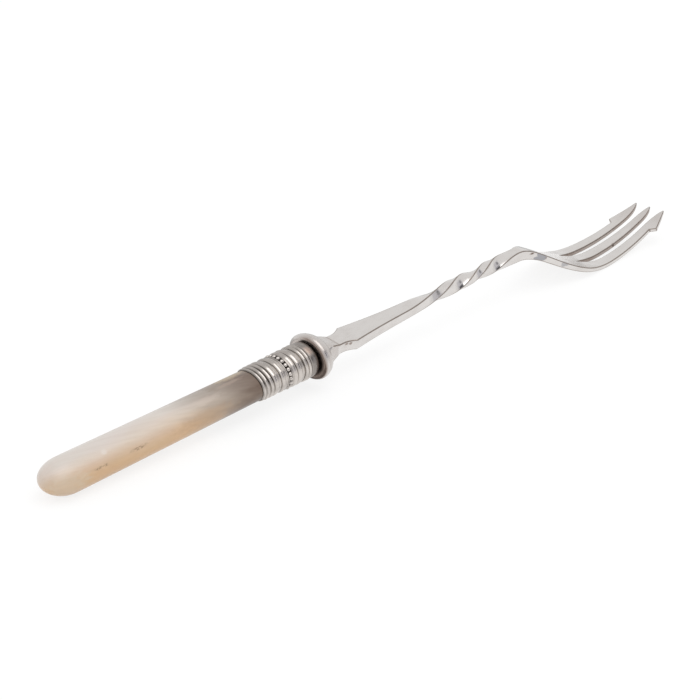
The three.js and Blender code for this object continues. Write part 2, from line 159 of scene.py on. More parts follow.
# A spot is a soft oval mark round one place, such as a pit, a stain or a dull patch.
spot = bpy.data.node_groups.new("spot", "ShaderNodeTree")
for name, kind in (("Place", "Vector"), ("Centre", "Vector"), ("Reach", "Vector"), ("Ragged", "Float")):
    spot.interface.new_socket(name, in_out="INPUT", socket_type="NodeSocket" + kind)
spot.interface.new_socket("Mask", in_out="OUTPUT", socket_type="NodeSocketFloat")
spot_in = spot.nodes.new("NodeGroupInput").outputs
spot_out = spot.nodes.new("NodeGroupOutput").inputs
away = put(spot, "ShaderNodeVectorMath", {0: spot_in["Place"], 1: spot_in["Centre"]}, operation="SUBTRACT")
away = put(spot, "ShaderNodeVectorMath", {0: away.outputs[0], 1: spot_in["Reach"]}, operation="DIVIDE")
distance = put(spot, "ShaderNodeVectorMath", {0: away.outputs[0]}, operation="LENGTH").outputs["Value"]
ragged = reckon(spot, "SUBTRACT", grain(spot, spot_in["Place"], (0.5, 1, 1), 1.6), 0.5)
ragged = reckon(spot, "MULTIPLY", ragged, spot_in["Ragged"])
faded = stepped(spot, reckon(spot, "ADD", distance, ragged), 0.35, 1.0, 1.0, 0.0)
spot.links.new(faded, spot_out["Mask"])


def spot_mask(tree, place, centre, reach, ragged):
    return put(tree, "ShaderNodeGroup", {"Place": place, "Centre": centre, "Reach": reach,
                                         "Ragged": ragged}, node_tree=spot).outputs["Mask"]


PALE_PEARL = (0.70, 0.635, 0.585, 1)
WARM_PEARL = (0.67, 0.445, 0.255, 1)
GREY_PEARL = (0.35, 0.288, 0.24, 1)
BROWN_PEARL = (0.155, 0.102, 0.072, 1)
OLIVE_CLOUD = (0.41, 0.31, 0.195, 1)
SMOKE_CLOUD = (0.29, 0.225, 0.18, 1)
ROSE_CLOUD = (0.42, 0.31, 0.25, 1)
MILK_CLOUD = (0.60, 0.51, 0.44, 1)
TAN_CLOUD = (0.49, 0.32, 0.195, 1)
CREAM_CLOUD = (0.68, 0.58, 0.46, 1)
BRIGHT_FLECK = (0.80, 0.75, 0.71, 1)
PIT_DIRT = (0.25, 0.16, 0.09, 1)
STREAK_BROWN = (0.5, 0.4, 0.32, 1)
GREEN_SHEEN, ROSE_SHEEN = (0.94, 1.0, 0.98, 1), (1.0, 0.95, 0.97, 1)
pearl, tree, surface = fresh_finish("pearl")
place = along_fork(tree, HANDLE_ROLL)
axes = put(tree, "ShaderNodeSeparateXYZ", {0: place}).outputs
lower = reckon(tree, "MULTIPLY", axes[1], -0.14)
lower = reckon(tree, "ADD", lower, reckon(tree, "MULTIPLY", axes[2], -0.203))
clouds = grain(tree, place, (0.055, 0.22, 0.22), 1.0)
slant = (0, 0, math.radians(15))
slanting = put(tree, "ShaderNodeMapping", {"Vector": place, "Rotation": slant}).outputs[0]
tongues = grain(tree, slanting, (0.05, 0.32, 0.32), 1.0)
streaks = grain(tree, slanting, (0.06, 1.6, 1.6), 1.0, 4.0, 0.6)
warmth = stepped(tree, reckon(tree, "MULTIPLY_ADD", clouds, 0.8, lower), -0.5, 1.08)
tone = mixed(tree, warmth, PALE_PEARL, WARM_PEARL)
drawn = reckon(tree, "MULTIPLY_ADD", tongues, 16.0, axes[0])
greying = reckon(tree, "MULTIPLY_ADD", lower, -3.0, drawn)
tone = mixed(tree, stepped(tree, greying, -34.5, -20.5, 0.0, 0.85), tone, GREY_PEARL)
tone = mixed(tree, stepped(tree, drawn, -24.0, -9.0), tone, BROWN_PEARL)
for centre, reach, colour, strength in (
        ((-22.5, 2.6, 2.7), (6.5, 2.4, 1.6), OLIVE_CLOUD, 0.95),
        ((-28.4, 1.4, 3.1), (2.6, 2.6, 1.3), SMOKE_CLOUD, 0.8),
        ((-24.1, 0.0, 3.4), (5.0, 0.8, 1.0), ROSE_CLOUD, 0.5),
        ((-32.7, -1.7, 3.2), (6.0, 1.2, 1.0), MILK_CLOUD, 0.4),
        ((-34.4, -4.3, 1.1), (11.0, 1.8, 2.2), TAN_CLOUD, 0.35),
        ((-70.8, -3.6, 0.2), (7.0, 3.4, 3.6), CREAM_CLOUD, 0.5),
        ((-60.9, -2.4, 3.2), (1.1, 0.8, 0.7), BRIGHT_FLECK, 0.4)):
    patch = reckon(tree, "MULTIPLY", spot_mask(tree, place, centre, reach, 1.0), strength)
    tone = mixed(tree, patch, tone, colour)
tone = mixed(tree, stepped(tree, streaks, 0.35, 0.75, 0.0, 0.10), tone, STREAK_BROWN, "MULTIPLY")
tint = put(tree, "ShaderNodeValToRGB", {0: grain(tree, place, (0.10, 0.5, 0.5), 1.0, 2.0)})
tint.color_ramp.elements[0].color = GREEN_SHEEN
tint.color_ramp.elements[1].color = ROSE_SHEEN
tone = mixed(tree, 0.6, tone, tint.outputs[0], "MULTIPLY")
pits = 0.0
for centre, reach in (((-63.9, -4.3, 1.5), (1.4, 0.8, 0.4)), ((-62.0, -4.3, 1.5), (1.2, 0.7, 0.35)),
                      ((-53.1, -4.2, 1.6), (3.0, 0.8, 0.5))):
    pits = reckon(tree, "MAXIMUM", pits, spot_mask(tree, place, centre, reach, 0.8))
broken_up = stepped(tree, grain(tree, place, (1.5, 5.0, 5.0), 1.0), 0.44, 0.52)
pits = reckon(tree, "MULTIPLY", pits, broken_up)
tone = mixed(tree, reckon(tree, "MULTIPLY", pits, 0.6), tone, PIT_DIRT)
worn = reckon(tree, "MULTIPLY_ADD", clouds, 0.2, 0.22)
hollow = reckon(tree, "MULTIPLY_ADD", pits, -0.6, reckon(tree, "MULTIPLY", streaks, 0.1))
bump = put(tree, "ShaderNodeBump", {"Strength": 0.2, "Distance": 0.0002, "Height": hollow})
feed(tree, surface, tone, worn, bump.outputs[0])
surface.inputs["IOR"].default_value = 1.5
surface.inputs["Coat Weight"].default_value = 0.2
surface.inputs["Coat Roughness"].default_value = 0.25
pearl_handle.data.materials.append(pearl)


# The ferrule is a thin silver sleeve, pressed with a lip, reeds, plain bands and a row of beads.
# It is pushed over the spigot, and the fork's collar enters its mouth. Tarnished patina stays in its grooves,
# and its far, upper side carries painted shade.
FERRULE_BACK, FERRULE_FRONT = -17.8, -0.55
BACK_HALF_WIDTH, BACK_HALF_HEIGHT = 4.62, 3.46
MOUTH_HALF_WIDTH, MOUTH_HALF_HEIGHT = 4.52, 4.02
REEDS_END_X, MOUTH_X = -14.0, -2.7
SLEEVE_DEPTH, SPIN_RADIUS = 0.6, 10
SWELL_END, SWELL_FOOT = 0.58, 0.63
BEAD_COUNT, BEAD_RADIUS, BEAD_SINK = 22, 0.52, 0.22
# Each band has its width and rise, the share of its width left as a margin, and the groove after it.
ferrule_bands = (
    ("reed", 0.9, 0.16, 0.2, 0.32), ("reed", 1.23, 0.25, 0.2, 0.32), ("reed", 1.23, 0.25, 0.16, 0.25),
    ("swell", 2.3, 0.25, 0.05, 0.12), ("swell", 1.9, 0.22, 0.05, 0.05),
    ("beads", 1.75, -0.14, 0.05, 0.05), ("reed", 1.4, 0.24, 0.08, 0.12),
    ("swell", 2.3, 0.25, 0.05, 0.2), ("reed", 1.03, 0.25, 0.1, 0.22), ("reed", 1.03, 0.25, 0.12, 0.26))


def ferrule_half(x):
    along = (x - FERRULE_BACK) / (FERRULE_FRONT - FERRULE_BACK)
    return (between(BACK_HALF_WIDTH, MOUTH_HALF_WIDTH, along),
            between(BACK_HALF_HEIGHT, MOUTH_HALF_HEIGHT, along))


ferrule_outline = [(FERRULE_BACK, -SLEEVE_DEPTH), (FERRULE_BACK, -0.06)]
x = FERRULE_BACK
for kind, width, rise, margin, groove in ferrule_bands:
    if kind == "beads":
        bead_x = x + width / 2
        channel_side = [(0.06, 0.02), (0.16, 0.08), (0.28, rise)]
        ferrule_outline += [(x + inset, height) for inset, height in channel_side]
        ferrule_outline += [(x + width - inset, height) for inset, height in reversed(channel_side)]
    else:
        end = SWELL_END if kind == "swell" else 1 - margin
        for step in range(11):
            crown = math.sin(math.pi * step / 10) ** 0.8
            ferrule_outline.append((x + width * between(margin, end, step / 10), between(-0.03, rise, crown)))
        if kind == "swell":
            ferrule_outline += [(x + width * SWELL_FOOT, -0.01), (x + width * (1 - margin), 0.0)]
    x += width
    ferrule_outline += [(x - 0.5 * margin * width, -groove), (x + 0.5 * margin * width, -groove)]
ferrule_outline += [(x + 0.16, -0.01), (x + 0.35, 0.06), (x + 0.9, 0.10), (x + 1.5, 0.07)]
ferrule_outline += [(FERRULE_FRONT - 0.2, 0.0), (FERRULE_FRONT, -0.12)]
ferrule_outline += [(FERRULE_FRONT, -SLEEVE_DEPTH), (SPIGOT_X, -SLEEVE_DEPTH)]
bm = bmesh.new()
tarnish_and_shade = bm.verts.layers.float.new("tarnish_and_shade")
points = [bm.verts.new((x, 0, SPIN_RADIUS + rise)) for x, rise in ferrule_outline]
for point, (x, rise) in zip(points, ferrule_outline):
    dark_up_to = 0.1 if x < REEDS_END_X else 0.04
    in_groove = 1.0 - eased(rise, -0.14, dark_up_to)
    dull_mouth = 0.58 * eased(x, MOUTH_X, MOUTH_X + 0.2)
    point[tarnish_and_shade] = max(in_groove, dull_mouth)
edges = [bm.edges.new(pair) for pair in zip(points, points[1:] + points[:1])]
turn_on_axis(bm, points, edges, 108)
for point in bm.verts:
    across = Vector((0, point.co.y, point.co.z))
    rise = across.length - SPIN_RADIUS
    half_width, half_height = ferrule_half(point.co.x)
    on_oval = Vector((0, across.y / across.length * half_width, across.z / across.length * half_height))
    outward = Vector((0, on_oval.y / half_width ** 2, on_oval.z / half_height ** 2)).normalized()
    point.co = Vector((point.co.x, 0, 0)) + on_oval + outward * rise
    near_side = -outward.y
    # Painted light: the grooves are painted half as dark on the near, lower side, and the far, upper side
    # gets a flat layer of painted shade.
    if point.co.x < MOUTH_X:
        point[tarnish_and_shade] *= 1 - 0.5 * eased(near_side, 0.72, 0.92)
    far_side_shade = 0.34 * (1 - eased(near_side, 0.0, 0.25))
    point[tarnish_and_shade] = max(point[tarnish_and_shade], far_side_shade)
half_width, half_height = ferrule_half(bead_x)
for step in range(BEAD_COUNT):
    angle = 2 * math.pi * (step + 0.5) / BEAD_COUNT
    made = bmesh.ops.create_uvsphere(bm, u_segments=16, v_segments=10, radius=BEAD_RADIUS)["verts"]
    bmesh.ops.scale(bm, verts=made, vec=(1.1, 1, 1))
    bmesh.ops.translate(bm, verts=made, vec=(bead_x, (half_width - BEAD_SINK) * math.cos(angle),
                                             (half_height - BEAD_SINK) * math.sin(angle)))
    for point in made:
        oval = math.hypot(point.co.y / half_width, point.co.z / half_height)
        point[tarnish_and_shade] = 1.0 - eased(oval, 0.95, 1.04)
ferrule = set_down(bm, "ferrule_sleeve", handle_lay, "ferrule")


# Worn silver has soft smudges, fine scratches, and dark tarnishing where nothing rubs it. The same darkening,
# near-black at its heaviest, also carries the painted shade and painted shadow set on the pieces.
silver_wear = bpy.data.node_groups.new("silver_wear", "ShaderNodeTree")
for name, kind in (("Place", "Vector"), ("Silver", "Color"), ("Stain", "Color"), ("TarnishAndShade", "Float"),
                   ("Smudge", "Float"), ("Rough", "Float")):
    silver_wear.interface.new_socket(name, in_out="INPUT", socket_type="NodeSocket" + kind)
for name, kind in (("Color", "Color"), ("Roughness", "Float"), ("Height", "Float")):
    silver_wear.interface.new_socket(name, in_out="OUTPUT", socket_type="NodeSocket" + kind)
wear_in = silver_wear.nodes.new("NodeGroupInput").outputs
wear_out = silver_wear.nodes.new("NodeGroupOutput").inputs
DEEP_TARNISH_AND_SHADOW = (0.012, 0.01, 0.009, 1)
smears = grain(silver_wear, wear_in["Place"], (0.25, 0.5, 0.5), 1.0, 4.0, 0.6)
smears = stepped(silver_wear, smears, 0.38, 0.72)
scratches = grain(silver_wear, wear_in["Place"], (0.5, 9.0, 9.0), 1.0, 3.0, 0.7)
specks = stepped(silver_wear, grain(silver_wear, wear_in["Place"], (3.0, 3.0, 3.0), 1.0, 2.0), 0.66, 0.74)
tone = wear_in["Silver"]
for dirt in (smears, specks):
    dulled = reckon(silver_wear, "MULTIPLY", dirt, wear_in["Smudge"])
    tone = mixed(silver_wear, dulled, tone, wear_in["Stain"])
broken = stepped(silver_wear, scratches, 0.1, 0.6, 0.75, 1.0)
broken = reckon(silver_wear, "MULTIPLY", wear_in["TarnishAndShade"], broken)
tone = mixed(silver_wear, broken, tone, wear_in["Stain"])
tone = mixed(silver_wear, stepped(silver_wear, broken, 0.75, 0.92, 0.0, 0.8), tone, DEEP_TARNISH_AND_SHADOW)
dry = reckon(silver_wear, "MULTIPLY_ADD", broken, 0.3, wear_in["Rough"])
silver_wear.links.new(tone, wear_out["Color"])
silver_wear.links.new(reckon(silver_wear, "MULTIPLY_ADD", smears, 0.08, dry), wear_out["Roughness"])
silver_wear.links.new(reckon(silver_wear, "MULTIPLY_ADD", smears, 0.4, scratches), wear_out["Height"])


def silver_finish(name, roll, colour, stain, smudge, rough, polish, marks=()):
    finish, tree, surface = fresh_finish(name)
    place = along_fork(tree, roll)
    dark = put(tree, "ShaderNodeAttribute", attribute_name="tarnish_and_shade").outputs["Fac"]
    grime_and_shade = put(tree, "ShaderNodeAttribute", attribute_name="grime_and_shade").outputs["Fac"]
    dark = reckon(tree, "MAXIMUM", dark, grime_and_shade)
    for centre, reach, strength in marks:
        mark = reckon(tree, "MULTIPLY", spot_mask(tree, place, centre, reach, 1.2), strength)
        dark = reckon(tree, "MAXIMUM", dark, mark)
    wear = put(tree, "ShaderNodeGroup", {"Place": place, "Silver": colour, "Stain": stain, "TarnishAndShade": dark,
                                         "Smudge": smudge, "Rough": rough}, node_tree=silver_wear).outputs
    bump = put(tree, "ShaderNodeBump", {"Strength": polish, "Distance": 0.00005, "Height": wear["Height"]})
    surface.inputs["Metallic"].default_value = 1.0
    feed(tree, surface, wear["Color"], wear["Roughness"], bump.outputs[0])
    return finish, tree, surface, place


def lay_over(tree, surface, share, colour):
    under = surface.inputs["Base Color"].links[0].from_socket
    tree.links.new(mixed(tree, share, under, colour), surface.inputs["Base Color"])


FERRULE_SILVER, FERRULE_STAIN = (0.64, 0.592, 0.552, 1), (0.05, 0.038, 0.03, 1)
BARE_COPPER = (0.45, 0.34, 0.285, 1)
ferrule_silver, tree, surface, place = silver_finish(
    "ferrule_silver", HANDLE_ROLL, FERRULE_SILVER, FERRULE_STAIN, smudge=0.2, rough=0.12, polish=0.06)
worn_through = spot_mask(tree, place, (-1.85, -1.9, 3.6), (1.0, 1.7, 1.2), 0.8)
lay_over(tree, surface, reckon(tree, "MULTIPLY", worn_through, 0.7), BARE_COPPER)
ferrule.data.materials.append(ferrule_silver)


# The cement is dark resin, poured hot round the tang before it is pushed home.
# It fills the hole in the pearl and can't be seen.
DARK_RESIN, LIGHT_RESIN = (0.06, 0.035, 0.02, 1), (0.13, 0.08, 0.045, 1)
resin, tree, surface = fresh_finish("resin_cement")
lumps = grain(tree, along_fork(tree, HANDLE_ROLL), (0.6, 0.6, 0.6), 1.0, 4.0)
tree.links.new(mixed(tree, lumps, DARK_RESIN, LIGHT_RESIN), surface.inputs["Base Color"])
tree.links.new(stepped(tree, lumps, 0.2, 0.8, 0.55, 0.85), surface.inputs["Roughness"])
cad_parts["tang_cement"].data.materials.clear()
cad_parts["tang_cement"].data.materials.append(resin)


# The fork is one forging, plated with silver: a flat head cut into three tines, an arched neck, a narrow
# stem twisted once round, a flat shank, and a bolster and flange that close on the ferrule.
# A collar and a tang, both hidden, run back from the flange.
BAR_HALF_WIDTH, BAR_HALF_HEIGHT = 1.575, 1.05
ARCH_X, CREST_X, FLARE_END_X, TIP_X = 74.0, 75.0, 97.0, 132.3
STEM_LIFT, CREST_SWELL, HEAD_CROWN = 0.8, 0.5, 0.55
LIFT_START_X, SWELL_START_X, SWELL_END_X = 25.0, 66.0, 82.0
CREST_Z, BELLY_X, BELLY_Z = 1.85, 105.5, -9.375
HEAD_HALF_WIDTH, HEAD_THICK, TIP_THICK = 8.09, 1.2, 1.05
ROOT_X, POINT_X, NARROW_X, OPENING_X = 96.1, 105.1, 125.8, 130.13
SLOT_MIDDLE, ROOT_BEND = 2.85, 2.25
SLOT_WIDE, SLOT_NARROW, SLOT_TIP = (1.8, 3.9), (1.25, 3.1), (0.2, 4.3)
FAR_BARB_X, NEAR_BARB_X, BARB_STEP = 123.6, 125.5, 1.1
NOTCH_HALF_WIDTH, BARB_HALF_WIDTH, TIP_HALF_WIDTH = 5.75, 7.25, 4.7
TINE_EDGE_X, TINE_EDGE_HALF_WIDTH = 92, 8.5
HAIR = 1e-6


def stem_rise(x):
    return STEM_LIFT * eased(x, LIFT_START_X, CREST_X)


def crest_swell(x):
    return CREST_SWELL * eased(x, SWELL_START_X, CREST_X) * (1 - eased(x, CREST_X, SWELL_END_X))


head_line = [(x, BAR_HALF_HEIGHT + stem_rise(x)) for x in (ARCH_X - 1 + step / 20 for step in range(40))]
for start, first, second, end, count in (
        ((CREST_X, CREST_Z), (81.0, CREST_Z), (90.0, BELLY_Z), (BELLY_X, BELLY_Z), 240),
        ((BELLY_X, BELLY_Z), (114.433, BELLY_Z), (123.367, -7.675), (TIP_X, -4.275), 200)):
    curve = interpolate_bezier(*[Vector((*point, 0)) for point in (start, first, second, end)], count)
    head_line += [(point.x, point.y) for point in curve[1:]]


def head_top(x):
    after = next((i for i, (place, _) in enumerate(head_line) if place > x), len(head_line) - 1)
    (x0, z0), (x1, z1) = head_line[after - 1], head_line[after]
    return between(z0, z1, (x - x0) / (x1 - x0)), (z1 - z0) / (x1 - x0)


def head_thickness(x):
    if x < FLARE_END_X:
        share = (x - ARCH_X) / (FLARE_END_X - ARCH_X)
        return between(2 * BAR_HALF_HEIGHT, HEAD_THICK, share) + crest_swell(x)
    return between(HEAD_THICK, TIP_THICK, (x - FLARE_END_X) / (TIP_X - FLARE_END_X))


def head_flare(x):
    share = min(max((x - ARCH_X) / (FLARE_END_X - ARCH_X), 0), 1)
    return between(BAR_HALF_WIDTH, HEAD_HALF_WIDTH, math.sin(math.pi / 2 * share) ** 1.4)


def curve_through(start, bend, end, x):
    span, reach = end[0] - start[0], bend[0] - start[0]
    a, b = span - 2 * reach, 2 * reach
    rise = x - start[0]
    share = rise / b if abs(a) < HAIR else (-b + math.sqrt(b * b + 4 * a * rise)) / (2 * a)
    return (1 - share) ** 2 * start[1] + 2 * share * (1 - share) * bend[1] + share ** 2 * end[1]


def slot_edges(x):
    if x <= ROOT_X:
        middle = SLOT_MIDDLE * head_flare(x) / HEAD_HALF_WIDTH
        spread = 0.5 * min(1, (ROOT_X - x) / 6) * head_flare(x) / HEAD_HALF_WIDTH
        return middle - spread, middle + spread
    if x < POINT_X:
        return [curve_through((ROOT_X, SLOT_MIDDLE), (ROOT_X + ROOT_BEND, side), (POINT_X, side), x)
                for side in SLOT_WIDE]
    if x < NARROW_X:
        share = (x - POINT_X) / (NARROW_X - POINT_X)
        return [between(wide, narrow, share) for wide, narrow in zip(SLOT_WIDE, SLOT_NARROW)]
    return [curve_through((NARROW_X, narrow), (OPENING_X, narrow), (TIP_X, tip), x)
            for narrow, tip in zip(SLOT_NARROW, SLOT_TIP)]


def outer_edge(x, barb_x):
    notch_x = barb_x - BARB_STEP
    if x <= notch_x + HAIR:
        share = (x - TINE_EDGE_X) / (notch_x - TINE_EDGE_X)
        return min(head_flare(x), between(TINE_EDGE_HALF_WIDTH, NOTCH_HALF_WIDTH, share))
    if x < barb_x:
        return between(NOTCH_HALF_WIDTH, BARB_HALF_WIDTH, (x - notch_x) / BARB_STEP)
    return between(BARB_HALF_WIDTH, TIP_HALF_WIDTH, (x - barb_x) / (TIP_X - barb_x))


NOTCH_ROW, BARB_ROW = 123.45, 124.55
COLUMNS, MIDDLE_COLUMN, SLOT_COLUMNS = 16, 8, (4, 11)
EDGE_INSET = 0.32
head_rows = [between(ARCH_X, ROOT_X, step / 40) for step in range(40)]
head_rows += [between(ROOT_X, POINT_X, step / 18) for step in range(18)]
head_rows += [between(POINT_X, NOTCH_ROW, step / 30) for step in range(30)]
head_rows += [NOTCH_ROW, 124.0, BARB_ROW]
head_rows += [between(BARB_ROW, TIP_X, step / 18) for step in range(1, 19)]


def barb_shift(row, barb_x):
    for start, end, new_start, new_end in ((POINT_X, NOTCH_ROW, POINT_X, barb_x - BARB_STEP),
                                           (NOTCH_ROW, BARB_ROW, barb_x - BARB_STEP, barb_x),
                                           (BARB_ROW, TIP_X, barb_x, TIP_X)):
        if start <= row <= end + HAIR:
            return between(new_start, new_end, (row - start) / (end - start))
    return row


def head_spot(row, column):
    side, barb_x = (1, FAR_BARB_X) if column > MIDDLE_COLUMN else (-1, NEAR_BARB_X)
    step = abs(column - MIDDLE_COLUMN)
    x = barb_shift(row, barb_x) if step >= 4 else row
    inner, outer = slot_edges(x)
    outside = outer_edge(x, barb_x)
    inset = min(EDGE_INSET, 0.3 * inner)
    y = (0, (inner - inset) / 2, inner - inset, inner)[min(step, 3)]
    if step > 3:
        inset = min(EDGE_INSET, 0.3 * (outside - outer))
        y = (outer, outer + inset, (outer + outside) / 2, outside - inset, outside)[step - 4]
    z, _ = head_top(x)
    crown = HEAD_CROWN * eased(x, ARCH_X, ARCH_X + 18) * (1 - eased(x, ROOT_X - 5, ROOT_X + 10))
    return Vector((x, side * y, z + crown * (1 - (y / max(outside, y)) ** 2)))


bm = bmesh.new()
tarnish_and_shade = bm.verts.layers.float.new("tarnish_and_shade")
last_row = len(head_rows) - 1
bmesh.ops.create_grid(bm, x_segments=last_row, y_segments=COLUMNS, size=1)
slots = []
for face in bm.faces:
    centre = face.calc_center_median()
    row = head_rows[int((centre.x + 1) / 2 * last_row)]
    column = int((centre.y + 1) / 2 * COLUMNS)
    if row >= ROOT_X - HAIR and column in SLOT_COLUMNS:
        slots.append(face)
for point in bm.verts:
    row = head_rows[round((point.co.x + 1) / 2 * last_row)]
    point.co = head_spot(row, round((point.co.y + 1) / 2 * COLUMNS))
bmesh.ops.delete(bm, geom=slots, context="FACES")
bmesh.ops.remove_doubles(bm, verts=bm.verts, dist=WELD)
bmesh.ops.recalc_face_normals(bm, faces=bm.faces)
under = bmesh.ops.extrude_face_region(bm, geom=bm.faces[:])["geom"]
under = {point for point in under if isinstance(point, bmesh.types.BMVert)}
for point in under:
    _, slope = head_top(point.co.x)
    depth = Vector((slope, 0, -1)).normalized() * head_thickness(point.co.x)
    depth.x *= eased(TIP_X - point.co.x, 0, 4)
    point.co += depth
uprights = [edge for edge in bm.edges if (edge.verts[0] in under) != (edge.verts[1] in under)]
bmesh.ops.subdivide_edges(bm, edges=uprights, cuts=3, use_grid_fill=True)
end_wall = [face for face in bm.faces if all(abs(point.co.x - ARCH_X) < 0.2 for point in face.verts)]
bmesh.ops.delete(bm, geom=end_wall, context="FACES")
ring = {point for edge in bm.edges if edge.is_boundary for point in edge.verts}
stem_middle = sum(point.co.z for point in ring) / len(ring)
ring = sorted(ring, key=lambda point: math.atan2(point.co.z - stem_middle, point.co.y))
arch_half_height = BAR_HALF_HEIGHT + crest_swell(ARCH_X) / 2
ring_shape = [(point.co.y / BAR_HALF_WIDTH, (point.co.z - stem_middle) / arch_half_height) for point in ring]


FLAT_SPREAD, SIDE_SPREAD = math.radians(65.5), math.radians(24.5)


def oval_angle(across, up):
    if abs(up) > 0.999:
        return math.copysign(math.pi / 2 - across * FLAT_SPREAD, up)
    angle = up * SIDE_SPREAD
    return angle if across > 0 else math.pi - angle


def draw_out(bm, ring, x, half_width, half_height, turn, lift=0.0, roundness=0.0):
    edges = [bm.edges.get(pair) for pair in zip(ring, ring[1:] + ring[:1])]
    drawn = bmesh.ops.extrude_edge_only(bm, edges=edges)["geom"]
    drawn = {point for point in drawn if isinstance(point, bmesh.types.BMVert)}
    grown = [next(edge.other_vert(point) for edge in point.link_edges if edge.other_vert(point) in drawn)
             for point in ring]
    for point, (across, up) in zip(grown, ring_shape):
        angle = oval_angle(across, up)
        y = half_width * between(across, math.cos(angle), roundness)
        z = half_height * between(up, math.sin(angle), roundness)
        point.co = (x, y * math.cos(turn) - z * math.sin(turn),
                    y * math.sin(turn) + z * math.cos(turn) + lift)
    return grown


SHOULDER_X, NECK_X, TAPER = 13.0, 9.6, 39.0
SHOULDER_HALF_WIDTH, NECK_HALF_WIDTH, SHANK_HALF_HEIGHT = 3.45, 2.3, 1.3
TWIST_X, TWIST_TURN, EASE_IN, EASE_OUT = 31.5, 2 * math.pi + HANDLE_ROLL, 0.47, 0.19
TWIST_RATE = TWIST_TURN / (1 - (EASE_IN + EASE_OUT) / 2)


def turned_after(run):
    if run > 1 - EASE_OUT:
        return TWIST_TURN - TWIST_RATE * (1 - run) ** 2 / (2 * EASE_OUT)
    if run < EASE_IN:
        return TWIST_RATE * run * run / (2 * EASE_IN)
    return TWIST_RATE * (run - EASE_IN / 2)


for step in range(1, 141):
    x = between(ARCH_X, SHOULDER_X, step / 140)
    turned = turned_after(max(x - TWIST_X, 0) / (ARCH_X - TWIST_X))
    left = 1 - min((x - SHOULDER_X) / TAPER, 1)
    half_width = between(BAR_HALF_WIDTH, SHOULDER_HALF_WIDTH, left ** 2.6)
    half_height = between(BAR_HALF_HEIGHT, SHANK_HALF_HEIGHT, left) + crest_swell(x) / 2
    lift = stem_rise(x) - crest_swell(x) / 2
    ring = draw_out(bm, ring, x, half_width, half_height, HANDLE_ROLL - turned, lift)
for step in range(1, 9):
    share = 1 - step / 8
    half_width = between(NECK_HALF_WIDTH, SHOULDER_HALF_WIDTH, share * share)
    ring = draw_out(bm, ring, between(NECK_X, SHOULDER_X, share), half_width, SHANK_HALF_HEIGHT, HANDLE_ROLL)
# The rings go from the neck over the bolster and the flange, then back along the collar and the tang.
bolster_rings = (
    (8.5, 2.3, 1.3, 0), (8.3, 2.33, 1.34, 0), (8.1, 2.38, 1.42, 0), (7.4, 2.52, 1.7, 0.02),
    (6.5, 2.7, 2.05, 0.05), (5.6, 2.9, 2.4, 0.11), (4.9, 3.06, 2.68, 0.22), (4.4, 3.22, 2.88, 0.4),
    (4.1, 3.45, 3.04, 0.62), (3.85, 3.85, 3.28, 0.85), (3.65, 4.4, 3.62, 1), (3.4, 4.95, 4.05, 1),
    (3.0, 5.42, 4.45, 1), (2.5, 5.82, 4.8, 1), (2.0, 6.08, 5.05, 1), (1.5, 6.26, 5.22, 1),
    (1.1, 6.32, 5.27, 1), (0.8, 6.32, 5.27, 1), (0.5, 6.24, 5.19, 1), (0.25, 6.05, 5.0, 1),
    (0.08, 5.8, 4.75, 1), (0.0, 5.45, 4.4, 1), (0.0, 5.15, 4.28, 1), (0.0, 5.0, 4.22, 1),
    (0.0, 4.7, 4.1, 1), (0.0, 4.35, 3.78, 1), (0.0, 3.62, 3.12, 1),
    (-2.75, 3.62, 3.12, 1), (-2.75, 0.95, 0.95, 1), (-46.75, 0.95, 0.95, 1))
for x, half_width, half_height, roundness in bolster_rings:
    ring = draw_out(bm, ring, x, half_width, half_height, HANDLE_ROLL, roundness=roundness)
bmesh.ops.contextual_create(bm, geom=ring)
bmesh.ops.recalc_face_normals(bm, faces=bm.faces)
SHARP_FOLD, FIRST_EDGE_X = math.radians(38), 6
bevel_share = bm.edges.layers.float.new("bevel_weight_edge")
for edge in bm.edges:
    middle = (edge.verts[0].co + edge.verts[1].co) / 2
    lengthwise = abs(edge.verts[0].co.x - edge.verts[1].co.x) > 0.01 or middle.x > ARCH_X
    if edge.calc_face_angle(0) > SHARP_FOLD and middle.x > FIRST_EDGE_X and lengthwise:
        off_root = math.hypot(middle.x - ROOT_X, abs(middle.y) - SLOT_MIDDLE)
        off_tip = between(0.35, 1, eased(TIP_X - middle.x, 0, 2.5))
        edge[bevel_share] = min(eased(off_root, 0.1, 3.0), off_tip)


# The flange's back is painted black where the ferrule shades it, as painted shadow. Below, it is brown and
# painted darker as shade, and above and to the left it is painted lighter as light. Its dark fades out
# towards the rim's front, less at the top. The bolster is dulled evenly, and the neck's crease and the tine
# tips are tarnished.
FLANGE_HALF_WIDTH, FLANGE_HALF_HEIGHT = 6.35, 5.3
FLANGE_BACK_X, RIM_LINE_X, RIM_X, CREASE_X, CREASE_END_X = 0.02, 0.1, 0.9, 8.05, 8.35


def fork_tarnish_and_shade(place):
    across = math.hypot(place.y / FLANGE_HALF_WIDTH, place.z / FLANGE_HALF_HEIGHT)
    lit_upper_left = eased(place.y * 0.115 + place.z * 0.113, 0.5, 0.9)
    lit_from_above = eased(place.z, -2.0, 2.5)
    if place.x < FLANGE_BACK_X:
        past_recess_shadow = eased(across, between(0.795, 0.69, lit_from_above), between(0.806, 0.75, lit_from_above))
        return between(0.92, between(between(0.86, 0.6, lit_from_above), 0.3, lit_upper_left), past_recess_shadow)
    if place.x < RIM_X:
        upper = eased(place.z, 1.0, 4.0)
        toward_front = eased(place.x, 0.2, 0.7)
        rim = 0.86 if place.x < RIM_LINE_X else 0.52
        return between(between(0.92, rim, lit_from_above), 0.1, lit_upper_left) * between(1, 0.6 * upper, toward_front)
    if place.x < CREASE_X:
        return 0.2
    if place.x < CREASE_END_X and place.z > 0.9:
        return 0.5
    return 0.14 * eased(place.x, 122, 130)


